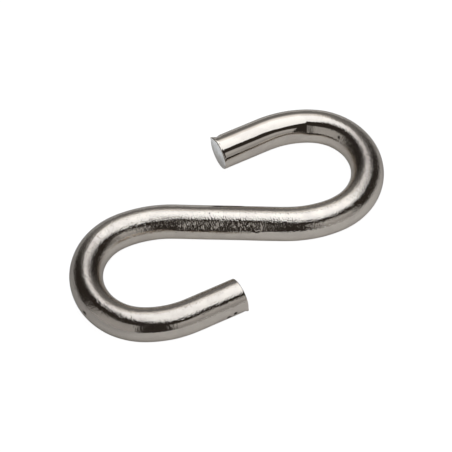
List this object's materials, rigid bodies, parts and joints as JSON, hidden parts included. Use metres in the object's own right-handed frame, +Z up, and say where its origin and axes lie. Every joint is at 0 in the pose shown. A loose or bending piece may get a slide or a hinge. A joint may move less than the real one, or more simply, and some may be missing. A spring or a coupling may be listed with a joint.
{
  "type": "s hook",
  "caption": "Open S-shaped hook bent from round plated steel wire, for hanging or joining rings, chain links and cord.",
  "frame": {"origin": "on the surface that the hook lies on, under the middle of its shank", "axes": "+X along the line of pull, through the centres of the eyes, towards hook A; +Z up, square to the plane of the S"},
  "size_m": [0.0518, 0.0266, 0.005],
  "materials": {
    "nickel_plated_steel": "bright nickel plate over cold bent steel wire, with fine grain, grip marks and cropped ends"
  },
  "bodies": {
    "root": {"s_hook": "nickel_plated_steel"}
  },
  "joints": []
}
